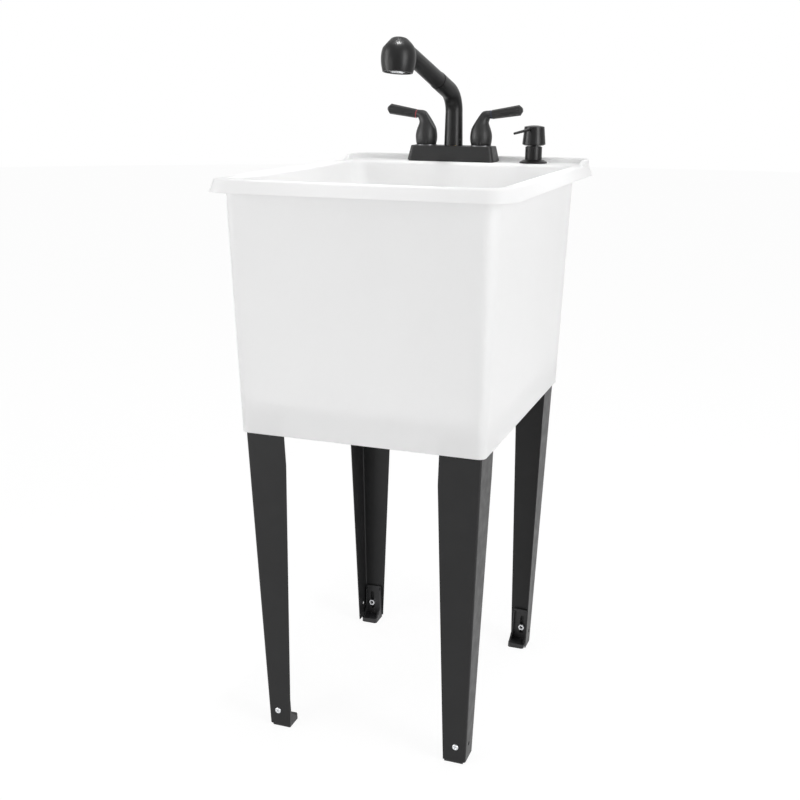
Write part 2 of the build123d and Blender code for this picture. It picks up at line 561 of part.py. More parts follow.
def make_valve(name, side):
    """Valve body with its threaded supply shank, nut under the deck and bright ring on the base."""
    place = FAUCET_PLACE * Pos(side * HANDLE_SPREAD / 2, 0, 0)
    shank_low = RIM_TOP - SHANK_LENGTH
    seat_low = shank_low + SHANK_END
    body = disc(SHANK_RADIUS, shank_low, seat_low) + disc(SHANK_SEAT, seat_low, RIM_TOP + PAD_SHEET)
    body += disc(VALVE_RADIUS, RIM_TOP + PAD_SHEET, BASE_TOP)
    body -= disc(SHANK_BORE, shank_low, RIM_TOP)
    body -= disc(STEM_RADIUS + STEM_FIT, BASE_TOP - BASE_HEIGHT / 2, BASE_TOP)
    keep(name + "_valve", place * body)
    nut_high = RIM_TOP - DECK_SHEET
    nut = disc(SHANK_NUT_RADIUS, nut_high - SHANK_NUT_HEIGHT, nut_high)
    wing = Pos(SHANK_NUT_RADIUS, 0, nut_high - SHANK_NUT_HEIGHT / 2) * Box(9, 4, SHANK_NUT_HEIGHT)
    for turn in range(4):
        nut += Rot(0, 0, 90 * turn + 45) * wing
    nut -= disc(SHANK_SEAT + 0.1, nut_high - SHANK_NUT_HEIGHT, nut_high)
    keep(name + "_shank_nut", place * nut)
    ring = disc(COLLAR_RADIUS, BASE_TOP, BASE_TOP + COLLAR_SHEET, VALVE_RADIUS - 4)
    keep(name + "_collar", place * ring)


def spanning(back, front):
    """Round section of a handle between a back point and a front point, both (outward, up)."""
    first = Vector(back[0], 0, back[1])
    last = Vector(front[0], 0, front[1])
    across = (last - first).normalized()
    middle = Plane(origin=(first + last) * 0.5, x_dir=across, z_dir=across.cross(Vector(0, 1, 0)))
    return middle * Circle((last - first).length / 2)


def lever_frame():
    """Plane where the lever's ring meets the neck: its normal runs out along the lever."""
    rise = radians(LEVER_RISE)
    along = Vector(cos(rise), 0, sin(rise))
    return Plane(origin=(RING_OUT, 0, RING_RISE), x_dir=(0, 1, 0), z_dir=along)


def handle_body():
    """Handle: a round foot that narrows and turns over into the neck, with a flat down its back."""
    sections = [Pos(0, 0, height) * Circle(radius) for radius, height in HANDLE_RINGS]
    sections += [spanning(back, front) for back, front in NECK_SECTIONS]
    sections.append(lever_frame() * Circle(NECK_RADIUS))
    behind = (2 * BEVEL_FOOT[0], BEVEL_HEAD[1])
    wedge = Plane.XZ * make_face(Polyline(BEVEL_FOOT, BEVEL_HEAD, behind, close=True))
    return loft(sections) - extrude(wedge, COLLAR_RADIUS * 2, both=True)


def lever_grip():
    """Eight-sided grip that swells to its tip and ends in a blunt point."""
    root = Pos(0, 0, RING_SHEET) * RegularPolygon(LEVER_ROOT / 2, 8, major_radius=False)
    shoulder = Pos(0, 0, LEVER_LENGTH - LEVER_CHAMFER) * RegularPolygon(LEVER_TIP / 2, 8, major_radius=False)
    point = Pos(0, 0, LEVER_LENGTH) * RegularPolygon(LEVER_POINT / 2, 8, major_radius=False)
    return loft([root, shoulder], ruled=True) + loft([shoulder, point], ruled=True)


def make_handle(name, side):
    """Handle with its stem, ring and lever; the hot one is the cold one's mirror image."""
    place = FAUCET_PLACE * Pos(side * HANDLE_SPREAD / 2, 0, HANDLE_SEAT)
    stem_low = BASE_TOP - BASE_HEIGHT / 2 + 1 - HANDLE_SEAT
    stem_high = RING_RISE / 2
    stem = disc(STEM_RADIUS, stem_low, stem_high)
    body = handle_body() - disc(STEM_RADIUS, 0, stem_high)
    ring = lever_frame() * extrude(Circle(NECK_RADIUS - RING_INSET), RING_SHEET)
    lever = lever_frame() * lever_grip()
    for piece, shape in (("handle", body), ("stem", stem), ("ring", ring), ("lever", lever)):
        if side < 0:
            shape = mirror(shape, about=Plane.YZ)
        keep(name + "_" + piece, place * shape)


# ---------------------------------------------------------------- spout and pull-out wand
def arm_direction():
    """Unit vector up along the spout's arm, drawn with the spout straight ahead."""
    climb = radians(SPOUT_CLIMB)
    return Vector(0, -cos(climb), sin(climb))


def arm_point(distance):
    """Point on the arm's axis, a distance from the column's axis."""
    return Vector(0, 0, SPOUT_CROSSING) + arm_direction() * distance


def arm_plane(distance):
    """Plane square to the arm's axis, a distance from the column's axis."""
    return Plane(origin=arm_point(distance), x_dir=(1, 0, 0), z_dir=arm_direction())


def swung(shape):
    """Put a shape that is drawn straight ahead at the spout's resting angle."""
    return FAUCET_PLACE * Rot(0, 0, -SPOUT_SWING) * shape


def bend_tangent():
    """Distance from the corner of the two axes to each end of the bend."""
    return SPOUT_BEND * tan(radians(90 - SPOUT_CLIMB) / 2)


def make_spout():
    foot = BASE_TOP + SPOUT_GAP
    tangent = bend_tangent()
    bend_low = SPOUT_CROSSING - tangent
    start = Vector(0, 0, bend_low)
    path = TangentArc(start, arm_point(tangent), tangent=(0, 0, 1))
    bend_disc = Pos(0, 0, bend_low) * Circle(SPOUT_RADIUS)
    column = loft([Pos(0, 0, foot) * Circle(SPOUT_FOOT), bend_disc])
    arm = loft([arm_plane(tangent) * Circle(SPOUT_RADIUS), arm_plane(SPOUT_ARM) * Circle(SPOUT_MOUTH)])
    spout = column + sweep(bend_disc, path=path) + arm
    spout -= disc(BUSH_RADIUS + BUSH_FIT, foot, BASE_TOP + BUSH_RISE + 1)
    passage = disc(BUSH_BORE, foot, bend_low) + sweep(Pos(0, 0, bend_low) * Circle(BUSH_BORE), path=path)
    passage += extrude(arm_plane(tangent) * Circle(BUSH_BORE), SPOUT_ARM - tangent)
    socket = SPIGOT_LENGTH + 1
    spout -= passage + extrude(arm_plane(SPOUT_ARM - socket) * Circle(SPIGOT_RADIUS + SPIGOT_FIT), socket)
    keep("spout", swung(spout))


def head_place():
    """Frame of the spray head: origin at the middle of its mouth, Z up its own axis."""
    tilt = radians(HEAD_TILT)
    up = Vector(0, sin(tilt), cos(tilt))
    return Plane(origin=(0, -HEAD_REACH - HEAD_BELLY * sin(tilt), HEAD_FACE), x_dir=(1, 0, 0), z_dir=up)


def head_egg():
    """Outer form of the spray head, turned from its side view."""
    side = Spline(*HEAD_OUTLINE, tangents=((0.3, 1), (-1, 0)))
    outline = side + Polyline(HEAD_OUTLINE[-1], (0, 0), HEAD_OUTLINE[0])
    return revolve(Plane.XZ * make_face(outline), Axis.Z)


def button_place():
    """Frame of the spray button's flat in the head's frame: origin on the flat, Z outward."""
    left = radians(BUTTON_LEFT)
    up = radians(BUTTON_UP)
    outward = Vector(-sin(left) * cos(up), -cos(left) * cos(up), sin(up))
    return Plane(origin=Vector(0, 0, HEAD_BELLY) + outward * FACET_OUT, z_dir=outward)


def make_wand():
    head = head_place()
    egg = head_egg()
    flat = button_place()
    facet = flat * Pos(0, 0, BUTTON_RADIUS) * Box(4 * BUTTON_RADIUS, 4 * BUTTON_RADIUS, 2 * BUTTON_RADIUS)
    pocket_depth = BUTTON_DEPTH + BUTTON_TRAVEL
    pocket = flat * Pos(0, 0, -pocket_depth / 2) * Cylinder(BUTTON_RADIUS + BUTTON_FIT, pocket_depth)
    recess = disc(SPRAY_RADIUS + 0.1, 0, FACE_RECESS + SPRAY_SHEET)
    shell = egg - facet - pocket - recess
    keep("spray_head", swung(head * shell))
    button = flat * Pos(0, 0, -BUTTON_DEPTH / 2) * Cylinder(BUTTON_RADIUS, BUTTON_DEPTH)
    button = chamfer(button.edges().sort_by_distance(flat.origin)[0], 0.6)
    keep("spray_button", swung(head * button))
    plate = disc(SPRAY_RADIUS, FACE_RECESS, FACE_RECESS + SPRAY_SHEET, AERATOR_RADIUS + 0.1)
    keep("spray_plate", swung(head * plate))
    aerator = disc(AERATOR_RADIUS, FACE_RECESS - 0.6, FACE_RECESS + SPRAY_SHEET)
    keep("aerator", swung(head * aerator))

    seam = SPOUT_ARM + SEAM_GAP
    neck = arm_plane(WAND_NECK_PLACE / cos(radians(SPOUT_CLIMB)))
    end = arm_plane(HEAD_REACH / cos(radians(SPOUT_CLIMB)))
    end.origin = end.origin - Vector(0, 0, WAND_DIP)
    straight = loft([arm_plane(seam) * Circle(WAND_SEAM), neck * Circle(WAND_NECK)])
    handle = straight + loft([neck * Circle(WAND_NECK), end * Circle(WAND_TIP)])
    spigot = extrude(arm_plane(seam - SPIGOT_LENGTH) * Circle(SPIGOT_RADIUS), SPIGOT_LENGTH)
    waterway = extrude(arm_plane(seam - SPIGOT_LENGTH) * Circle(SPIGOT_RADIUS - 4), SPIGOT_LENGTH + 60)
    handle = handle + spigot - waterway - head * egg
    handle = handle.solids().sort_by(SortBy.VOLUME)[-1]
    keep("wand_handle", swung(handle))


# ---------------------------------------------------------------- soap dispenser
def make_soap_body():
    dome_top = RIM_TOP + SOAP_FLANGE_SHEET + SOAP_DOME
    collar_top = RIM_TOP + SOAP_COLLAR_RISE
    bore = SOAP_SHANK + 0.05
    flange = turned([
        (bore, RIM_TOP), (SOAP_FLANGE - 1, RIM_TOP), (SOAP_FLANGE, RIM_TOP + 1),
        (SOAP_FLANGE - 0.6, RIM_TOP + SOAP_FLANGE_SHEET), (SOAP_COLLAR + 3.5, dome_top - 1.0),
        (SOAP_COLLAR, dome_top), (SOAP_COLLAR, collar_top), (bore, collar_top)])
    keep("soap_flange", SOAP_PLACE * flange)

    shank_low = RIM_TOP - SOAP_SHANK_DROP
    inner = SOAP_SHANK - SOAP_SHANK_SHEET
    keep("soap_shank", SOAP_PLACE * disc(SOAP_SHANK, shank_low, collar_top, inner))
    nut_high = RIM_TOP - DECK_SHEET
    nut = hexagon(2 * SOAP_NUT_RADIUS, nut_high - SOAP_NUT_HEIGHT, nut_high, SOAP_SHANK + 0.1)
    keep("soap_nut", SOAP_PLACE * nut)

    neck_top = shank_low + BOTTLE_NECK_HEIGHT
    shoulder = shank_low - 4
    base = shoulder - BOTTLE_HEIGHT
    cavity = BOTTLE_RADIUS - BOTTLE_SHEET
    bottle = turned([
        (0, base), (BOTTLE_RADIUS - 3, base), (BOTTLE_RADIUS, base + 3), (BOTTLE_RADIUS, shoulder - 12),
        (BOTTLE_NECK, shoulder), (BOTTLE_NECK, neck_top), (SOAP_SHANK + 0.1, neck_top),
        (SOAP_SHANK + 0.1, shoulder), (cavity, shoulder - 13), (cavity, base + 4), (0, base + 4)])
    keep("soap_bottle", SOAP_PLACE * bottle)

    pump_low = RIM_TOP - PUMP_DROP
    cylinder = disc(PUMP_RADIUS, pump_low, collar_top) - disc(PUMP_BORE, pump_low + PUMP_FLOOR, collar_top)
    cylinder -= disc(DIP_RADIUS, pump_low, pump_low + PUMP_FLOOR)
    keep("pump_cylinder", SOAP_PLACE * cylinder)
    cap_low = collar_top - PUMP_FLOOR
    cap_top = collar_top + PUMP_CAP_SHEET
    cap = disc(SOAP_SHANK, collar_top, cap_top) + disc(PUMP_BORE, cap_low, collar_top)
    cap -= disc(PLUNGER_RADIUS + SOAP_FIT, cap_low, cap_top)
    keep("pump_cap", SOAP_PLACE * cap)
    dip_low = base + 2 * PUMP_FLOOR
    keep("dip_tube", SOAP_PLACE * disc(DIP_RADIUS, dip_low, pump_low + PUMP_FLOOR, DIP_RADIUS - 1))
    keep("pump_spring", SOAP_PLACE * pump_spring(pump_low + PUMP_FLOOR))


def pump_spring(low):
    """Return spring that stands on the cylinder's floor and carries the piston."""
    coil = PUMP_BORE - 2 * SPRING_WIRE
    rise = SPRING_HEIGHT - 2 * SPRING_WIRE
    path = Helix(rise / SPRING_TURNS, rise, coil, center=(0, 0, low + SPRING_WIRE))
    section = Plane(origin=path @ 0, z_dir=path % 0) * Circle(SPRING_WIRE)
    return sweep(section, path=path, is_frenet=True)


def make_pump_head():
    skirt = RIM_TOP + SOAP_COLLAR_RISE + PUMP_GAP
    crown = skirt + PUMP_HEAD_HEIGHT
    roof = crown - 2 * NOZZLE_RADIUS - PUMP_GAP
    bevel = (PUMP_SKIRT - PUMP_BEVEL[0], skirt)
    side_view = (
        Polyline(bevel, (PUMP_SKIRT, skirt + PUMP_BEVEL[1]), (PUMP_CROWN, crown))
        + TangentArc((0, crown + PUMP_HEAD_DOME), (PUMP_CROWN, crown), tangent=(1, 0))
        + Polyline((0, crown + PUMP_HEAD_DOME), (0, skirt), bevel))
    head = revolve(Plane.XZ * make_face(side_view), Axis.Z)
    head -= disc(SOAP_COLLAR + SKIRT_FIT, skirt, skirt + PUMP_STROKE + 3)
    head -= disc(PLUNGER_RADIUS + SOAP_FIT, skirt, roof)
    left = radians(NOZZLE_LEFT)
    drop = radians(NOZZLE_DROP)
    along = Vector(-sin(left) * cos(drop), -cos(left) * cos(drop), -sin(drop))
    root = Vector(0, 0, crown - NOZZLE_BELOW) + along * (PUMP_CROWN - 4)
    reach = NOZZLE_REACH - PUMP_CROWN + 4
    mouth = Plane(origin=root + along * reach, z_dir=along)
    nozzle = loft([Plane(origin=root, z_dir=along) * Circle(NOZZLE_RADIUS), mouth * Circle(NOZZLE_TIP)])
    tip = extrude(mouth * Circle(NOZZLE_TIP / 2), -12)
    head -= nozzle
    keep("pump_head", SOAP_PLACE * head)
    keep("pump_nozzle", SOAP_PLACE * (nozzle - tip))
    piston_low = RIM_TOP - PUMP_DROP + PUMP_FLOOR + SPRING_HEIGHT
    plunger = disc(PLUNGER_RADIUS, piston_low, roof)
    plunger += disc(PUMP_BORE - SOAP_FIT, piston_low, piston_low + PISTON_HEIGHT)
    keep("pump_plunger", SOAP_PLACE * (plunger - disc(PLUNGER_RADIUS / 2, piston_low, roof)))


# ---------------------------------------------------------------- build and write
make_tub()
make_legs()
make_feet()
make_drain()
make_faucet_base()
for handle_name, handle_side in (("hot", -1), ("cold", 1)):
    make_valve(handle_name, handle_side)
    make_handle(handle_name, handle_side)
make_spout()
make_wand()
make_soap_body()
make_pump_head()

os.makedirs("parts", exist_ok=True)
for node, shape in PARTS.items():
    export_step(shape, os.path.join("parts", node + ".step"))
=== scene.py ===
import json
import math

import bmesh
import bpy
from mathutils import Matrix, Vector


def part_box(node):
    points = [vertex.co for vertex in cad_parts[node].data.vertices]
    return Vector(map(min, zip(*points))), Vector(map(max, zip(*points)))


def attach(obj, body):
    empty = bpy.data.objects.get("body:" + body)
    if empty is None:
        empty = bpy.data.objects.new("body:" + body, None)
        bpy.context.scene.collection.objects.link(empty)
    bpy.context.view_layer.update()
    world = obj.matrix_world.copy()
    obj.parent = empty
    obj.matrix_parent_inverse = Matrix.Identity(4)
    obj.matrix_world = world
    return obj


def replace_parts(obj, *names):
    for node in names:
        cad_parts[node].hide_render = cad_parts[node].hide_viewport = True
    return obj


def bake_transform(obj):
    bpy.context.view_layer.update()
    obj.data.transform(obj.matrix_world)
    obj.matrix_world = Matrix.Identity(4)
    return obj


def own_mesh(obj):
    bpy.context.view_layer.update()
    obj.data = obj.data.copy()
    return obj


# Looks for a free-standing utility laundry sink. Metres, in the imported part's own frame:
# floor at z = 0, the user stands at -Y.
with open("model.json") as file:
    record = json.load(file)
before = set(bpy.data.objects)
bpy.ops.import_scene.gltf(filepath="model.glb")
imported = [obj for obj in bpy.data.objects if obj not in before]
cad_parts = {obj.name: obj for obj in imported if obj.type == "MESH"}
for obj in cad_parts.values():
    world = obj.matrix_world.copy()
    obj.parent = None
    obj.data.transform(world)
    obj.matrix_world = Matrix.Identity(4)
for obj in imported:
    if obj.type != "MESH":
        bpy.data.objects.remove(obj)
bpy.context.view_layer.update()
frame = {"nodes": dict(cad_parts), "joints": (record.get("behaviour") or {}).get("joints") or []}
nodes = frame["nodes"]
MM = 0.001

# ---------------------------------------------------------------- camera
CAMERA_PLACE = Vector((0.5743, -1.6863, 1.0053))
CAMERA_AZIMUTH = math.radians(19.737)     # right of straight ahead
CAMERA_PITCH = math.radians(15.629)       # looking down
CAMERA_ROLL = math.radians(0.387)
CAMERA_LENS = 49.87                       # on a 36 mm wide sensor


def make_camera():
    forward = Vector((-math.sin(CAMERA_AZIMUTH) * math.cos(CAMERA_PITCH),
                      math.cos(CAMERA_AZIMUTH) * math.cos(CAMERA_PITCH),
                      -math.sin(CAMERA_PITCH)))
    level = Vector((math.cos(CAMERA_AZIMUTH), math.sin(CAMERA_AZIMUTH), 0))
    upward = level.cross(forward)
    right = math.cos(CAMERA_ROLL) * level + math.sin(CAMERA_ROLL) * upward
    up = -math.sin(CAMERA_ROLL) * level + math.cos(CAMERA_ROLL) * upward
    data = bpy.data.cameras.new("photo_camera")
    data.lens = CAMERA_LENS
    data.sensor_width = 36.0
    camera = bpy.data.objects.new("photo_camera", data)
    bpy.context.scene.collection.objects.link(camera)
    turn = Matrix((right, up, -forward)).transposed().to_4x4()
    camera.matrix_world = Matrix.Translation(CAMERA_PLACE) @ turn
    bpy.context.scene.camera = camera


# ---------------------------------------------------------------- studio
WHITE = (1, 1, 1, 1)
WORLD_LIGHT = 0.42                        # what the white surroundings give to matt surfaces
FLOOR_RADIUS = 14.0
FLOOR_PAINT = (0.95, 0.95, 0.95, 1)
FLOOR_GLOW = 0.8                          # share of the floor's look that is glow, seen directly
FLOOR_BRIGHTNESS = 1.12


def seen_directly(tree):
    """1 for rays from the camera, or seen in glossy or clear surfaces, else 0."""
    path = tree.nodes.new("ShaderNodeLightPath")
    found = path.outputs["Is Camera Ray"]
    for ray in ("Is Glossy Ray", "Is Transmission Ray"):
        either = tree.nodes.new("ShaderNodeMath")
        either.operation = "MAXIMUM"
        tree.links.new(found, either.inputs[0])
        tree.links.new(path.outputs[ray], either.inputs[1])
        found = either.outputs[0]
    return found


def make_world():
    world = bpy.data.worlds.new("studio")
    bpy.context.scene.world = world
    world.use_nodes = True
    tree = world.node_tree
    light = tree.nodes["Background"]
    light.inputs["Color"].default_value = WHITE
    light.inputs["Strength"].default_value = WORLD_LIGHT
    white = tree.nodes.new("ShaderNodeBackground")
    white.inputs["Color"].default_value = WHITE
    white.inputs["Strength"].default_value = 1.0
    mix = tree.nodes.new("ShaderNodeMixShader")
    tree.links.new(seen_directly(tree), mix.inputs["Fac"])
    tree.links.new(light.outputs[0], mix.inputs[1])
    tree.links.new(white.outputs[0], mix.inputs[2])
    tree.links.new(mix.outputs[0], tree.nodes["World Output"].inputs["Surface"])


def make_floor():
    """A pale sweep that reads as white to the camera and keeps a faint shadow."""
    mesh = bpy.data.meshes.new("studio_floor")
    build = bmesh.new()
    bmesh.ops.create_circle(build, cap_ends=True, radius=FLOOR_RADIUS, segments=96)
    build.to_mesh(mesh)
    build.free()
    floor = bpy.data.objects.new("studio_floor", mesh)
    bpy.context.scene.collection.objects.link(floor)
    material = bpy.data.materials.new("studio_floor")
    material.use_nodes = True
    tree = material.node_tree
    tree.nodes.remove(tree.nodes["Principled BSDF"])
    paint = tree.nodes.new("ShaderNodeBsdfDiffuse")
    paint.inputs["Color"].default_value = FLOOR_PAINT
    glow = tree.nodes.new("ShaderNodeEmission")
    glow.inputs["Strength"].default_value = FLOOR_BRIGHTNESS
    share = tree.nodes.new("ShaderNodeMath")
    share.operation = "MULTIPLY"
    share.inputs[1].default_value = FLOOR_GLOW
    tree.links.new(seen_directly(tree), share.inputs[0])
    mix = tree.nodes.new("ShaderNodeMixShader")
    tree.links.new(share.outputs[0], mix.inputs["Fac"])
    tree.links.new(paint.outputs[0], mix.inputs[1])
    tree.links.new(glow.outputs[0], mix.inputs[2])
    tree.links.new(mix.outputs[0], tree.nodes["Material Output"].inputs["Surface"])
    mesh.materials.append(material)


def soft_light(name, place, aim, width, height, watts, lights=True, spread=180.0):
    """Rectangular lamp, metres and watts, aimed at a point.

    Without lights it only shows as a highlight; spread narrows its beam, in degrees.
    """
    data = bpy.data.lights.new(name, "AREA")
    data.shape = "RECTANGLE"
    data.size = width
    data.size_y = height
    data.energy = watts
    data.spread = math.radians(spread)
    light = bpy.data.objects.new(name, data)
    bpy.context.scene.collection.objects.link(light)
    light.location = place
    light.rotation_mode = "QUATERNION"
    light.rotation_quaternion = (Vector(aim) - Vector(place)).to_track_quat("-Z", "Y")
    light.visible_diffuse = lights


def make_lamps():
    """Two lamps light the tub and two weak ones its top; the streaks only show in dark surfaces."""
    soft_light("key", (2.6, -0.9, 1.2), (0, 0, 0.7), 1.0, 2.0, 28)
    soft_light("fill", (-1.9, -2.7, 0.7), (0, 0, 0.7), 1.2, 1.6, 24)
    soft_light("top", (0.2, -0.1, 3.0), (0, -0.05, 0.6), 0.8, 0.8, 10)
    soft_light("basin", (0, -0.05, 2.3), (0, -0.03, 0.6), 0.3, 0.36, 0.8, spread=22.0)
    soft_light("left_streak", (-2.2, -0.9, 1.2), (0, 0.2, 1.0), 0.95, 1.9, 52, lights=False)
    soft_light("right_streak", (2.0, -1.15, 1.2), (0, 0.2, 1.0), 0.7, 1.9, 38, lights=False)


# ---------------------------------------------------------------- materials
FINISHES = {}                             # look: its finish
NOISE_LOW, NOISE_HIGH = 0.3, 0.7          # nearly all of a noise field lies between these


class Finish:
    """One procedural material: a Principled shader and the nodes that vary it over the surface."""

    def __init__(self, name, metallic=0.0):
        self.material = bpy.data.materials.new(name)
        self.material.use_nodes = True
        self.tree = self.material.node_tree
        self.shader = self.tree.nodes["Principled BSDF"]
        self.shader.inputs["Metallic"].default_value = metallic
        self.place = self.tree.nodes.new("ShaderNodeTexCoord").outputs["Object"]
        self.normal = None
        self.slot = None

    def set(self, **sockets):
        for name, value in sockets.items():
            self.shader.inputs[name.replace("_", " ")].default_value = value
        return self

    def noise(self, scale, detail=3.0, stretch=(1, 1, 1)):
        """A noise field; scale is in cells per metre, stretched along any axis."""
        mapping = self.tree.nodes.new("ShaderNodeMapping")
        mapping.inputs["Scale"].default_value = stretch
        field = self.tree.nodes.new("ShaderNodeTexNoise")
        field.inputs["Scale"].default_value = scale
        field.inputs["Detail"].default_value = detail
        self.tree.links.new(self.place, mapping.inputs["Vector"])
        self.tree.links.new(mapping.outputs[0], field.inputs["Vector"])
        return field.outputs["Fac"]

    def colour(self, base, spread, scale, stretch=(1, 1, 1)):
        """Base colour that drifts by a share each way."""
        ramp = self.tree.nodes.new("ShaderNodeValToRGB")
        dark, light = ramp.color_ramp.elements
        dark.position = NOISE_LOW
        light.position = NOISE_HIGH
        dark.color = [c * (1 - spread) for c in base] + [1]
        light.color = [min(1.0, c * (1 + spread)) for c in base] + [1]
        self.tree.links.new(self.noise(scale, 4.0, stretch), ramp.inputs["Fac"])
        self.tree.links.new(ramp.outputs["Color"], self.shader.inputs["Base Color"])
        return self

    def roughness(self, low, high, scale):
        """Roughness that drifts between two values."""
        spread = self.tree.nodes.new("ShaderNodeMapRange")
        spread.inputs["From Min"].default_value = NOISE_LOW
        spread.inputs["From Max"].default_value = NOISE_HIGH
        spread.inputs["To Min"].default_value = low
        spread.inputs["To Max"].default_value = high
        self.tree.links.new(self.noise(scale), spread.inputs["Value"])
        self.tree.links.new(spread.outputs["Result"], self.shader.inputs["Roughness"])
        return self

    def bump(self, height, depth, strength=1.0):
        """Relief from a 0 to 1 field, depth in metres, added to the relief so far."""
        relief = self.tree.nodes.new("ShaderNodeBump")
        relief.inputs["Distance"].default_value = depth
        relief.inputs["Strength"].default_value = strength
        self.tree.links.new(height, relief.inputs["Height"])
        if self.normal is not None:
            self.tree.links.new(self.normal, relief.inputs["Normal"])
        self.normal = relief.outputs["Normal"]
        self.tree.links.new(self.normal, self.shader.inputs["Normal"])
        return self

    def grain(self, scale, depth, detail=2.0, strength=1.0):
        """Relief from noise."""
        return self.bump(self.noise(scale, detail), depth, strength)


def dress(finish, slot, *names):
    """Give a finish to CAD nodes, and keep it as its slot's look for the detail pieces."""
    FINISHES[slot] = finish
    finish.slot = slot
    for name in names:
        piece = nodes[name]
        piece.data.materials.clear()
        piece.data.materials.append(finish.material)


def each(pattern, words):
    return [pattern.format(word) for word in words]


CORNERS = ("front_left", "front_right", "rear_left", "rear_right")
SIDES = ("hot", "cold")


def make_finishes():
    tub = Finish("moulded_white_plastic")
    tub.colour((0.92, 0.92, 0.92), 0.010, 5.0, (1, 1, 0.5))
    tub.roughness(0.50, 0.62, 26.0)
    tub.grain(9.0, 0.6 * MM, 2.0, 0.25)
    tub.grain(1500.0, 0.02 * MM, 2.0, 0.5)
    tub.set(Subsurface_Weight=0.6, Subsurface_Radius=(1.0, 1.0, 1.0), Subsurface_Scale=0.006)
    dress(tub, "tub_plastic", "tub")

    legs = Finish("black_powder_coat")
    legs.colour((0.015, 0.015, 0.0155), 0.12, 14.0)
    legs.roughness(0.36, 0.46, 60.0)
    legs.grain(22.0, 0.15 * MM, 2.0, 0.4)
    legs.grain(1100.0, 0.03 * MM, 3.0, 0.8)
    legs.set(Specular_IOR_Level=0.27)
    dress(legs, "leg_paint", *each("leg_{}", CORNERS))

    feet = Finish("black_moulded_foot")
    feet.colour((0.010, 0.010, 0.011), 0.2, 60.0)
    feet.roughness(0.42, 0.56, 180.0)
    feet.grain(1800.0, 0.03 * MM, 2.0, 0.8)
    dress(feet, "foot_plastic", *each("foot_{}", CORNERS))

    zinc = Finish("zinc_plate", 1.0)
    zinc.colour((0.66, 0.67, 0.69), 0.10, 260.0)
    zinc.roughness(0.22, 0.40, 500.0)
    zinc.grain(2600.0, 0.01 * MM, 3.0, 0.7)
    dress(zinc, "zinc", "foot_bolts", "foot_nuts", "pump_spring")

    faucet = Finish("satin_black_coat")
    faucet.colour((0.0095, 0.0095, 0.0097), 0.14, 40.0)
    faucet.roughness(0.31, 0.39, 120.0)
    faucet.grain(1900.0, 0.012 * MM, 2.0, 0.7)
    faucet.set(Specular_IOR_Level=0.19)
    dress(faucet, "faucet_black", "spout", "wand_handle", "spray_head")

    # A rougher copy of the faucet black whose lighter colour is painted light, for the base plate
    # lit from above; the handles and levers wear it too.
    painted_lit_coat = Finish("rough_black_coat_painted_lit")
    painted_lit_coat.colour((0.017, 0.017, 0.0173), 0.12, 46.0)
    painted_lit_coat.roughness(0.40, 0.50, 130.0)
    painted_lit_coat.grain(1300.0, 0.02 * MM, 3.0, 0.8)
    painted_lit_coat.set(Specular_IOR_Level=0.27)
    dress(painted_lit_coat, "faucet_black", "faucet_base",
          *each("{}_handle", SIDES), *each("{}_lever", SIDES))

    soap = Finish("satin_black_dispenser")
    soap.colour((0.009, 0.009, 0.0093), 0.14, 50.0)
    soap.roughness(0.28, 0.38, 140.0)
    soap.grain(2100.0, 0.012 * MM, 2.0, 0.7)
    soap.set(Specular_IOR_Level=0.21)
    dress(soap, "soap_black", "soap_flange", "pump_head", "pump_nozzle", "pump_cap", "pump_plunger")

    button = Finish("soft_black_button")
    button.colour((0.013, 0.013, 0.014), 0.15, 90.0)
    button.roughness(0.48, 0.60, 200.0)
    button.grain(2400.0, 0.02 * MM, 2.0, 0.8)
    dress(button, "button_black", "spray_button", "spray_plate")

    red = Finish("red_marker_ring")
    red.colour((0.30, 0.012, 0.022), 0.12, 150.0)
    red.roughness(0.28, 0.40, 300.0)
    red.grain(2600.0, 0.01 * MM)
    dress(red, "ring_red", "hot_ring")

    blue = Finish("blue_marker_ring")
    blue.colour((0.010, 0.016, 0.045), 0.12, 150.0)
    blue.roughness(0.28, 0.40, 300.0)
    blue.grain(2600.0, 0.01 * MM)
    dress(blue, "ring_blue", "cold_ring")

    bright = Finish("bright_plate", 1.0)
    bright.colour((0.62, 0.63, 0.64), 0.05, 120.0)
    bright.roughness(0.10, 0.20, 240.0)
    bright.grain(2800.0, 0.005 * MM)
    dress(bright, "bright_ring", "aerator")

    # A rougher copy of the bright plate for the collars under the handles; its darker colour is
    # painted shade.
    collar = Finish("rough_plate_painted_shade", 1.0)
    collar.colour((0.15, 0.15, 0.155), 0.08, 120.0)
    collar.roughness(0.30, 0.42, 240.0)
    collar.grain(2800.0, 0.005 * MM)
    dress(collar, "bright_ring", *each("{}_collar", SIDES))
    FINISHES["bright_ring"] = bright

    brass = Finish("turned_brass", 1.0)
    brass.colour((0.62, 0.43, 0.17), 0.10, 70.0)
    brass.roughness(0.20, 0.34, 200.0)
    brass.grain(1600.0, 0.01 * MM, 2.0, 0.6)
    dress(brass, "brass", "spout_bush", *each("{}_valve", SIDES), *each("{}_stem", SIDES))

    rubber = Finish("black_rubber")
    rubber.colour((0.016, 0.016, 0.016), 0.2, 60.0)
    rubber.roughness(0.62, 0.78, 200.0)
    rubber.grain(1500.0, 0.03 * MM, 3.0)
    dress(rubber, "rubber", "faucet_gasket", "drain_seal", "drain_stopper")

    drain = Finish("white_drain_plastic")
    drain.colour((0.74, 0.75, 0.75), 0.03, 30.0)
    drain.roughness(0.38, 0.50, 120.0)
    drain.grain(1500.0, 0.02 * MM)
    dress(drain, "drain_plastic", "drain_flange", "drain_locknut", "slip_nut", "tailpiece")

    nylon = Finish("black_nylon")
    nylon.colour((0.016, 0.016, 0.018), 0.2, 60.0)
    nylon.roughness(0.40, 0.52, 160.0)
    nylon.grain(1700.0, 0.02 * MM)
    dress(nylon, "nut_plastic", "soap_nut", "soap_shank", *each("{}_shank_nut", SIDES))

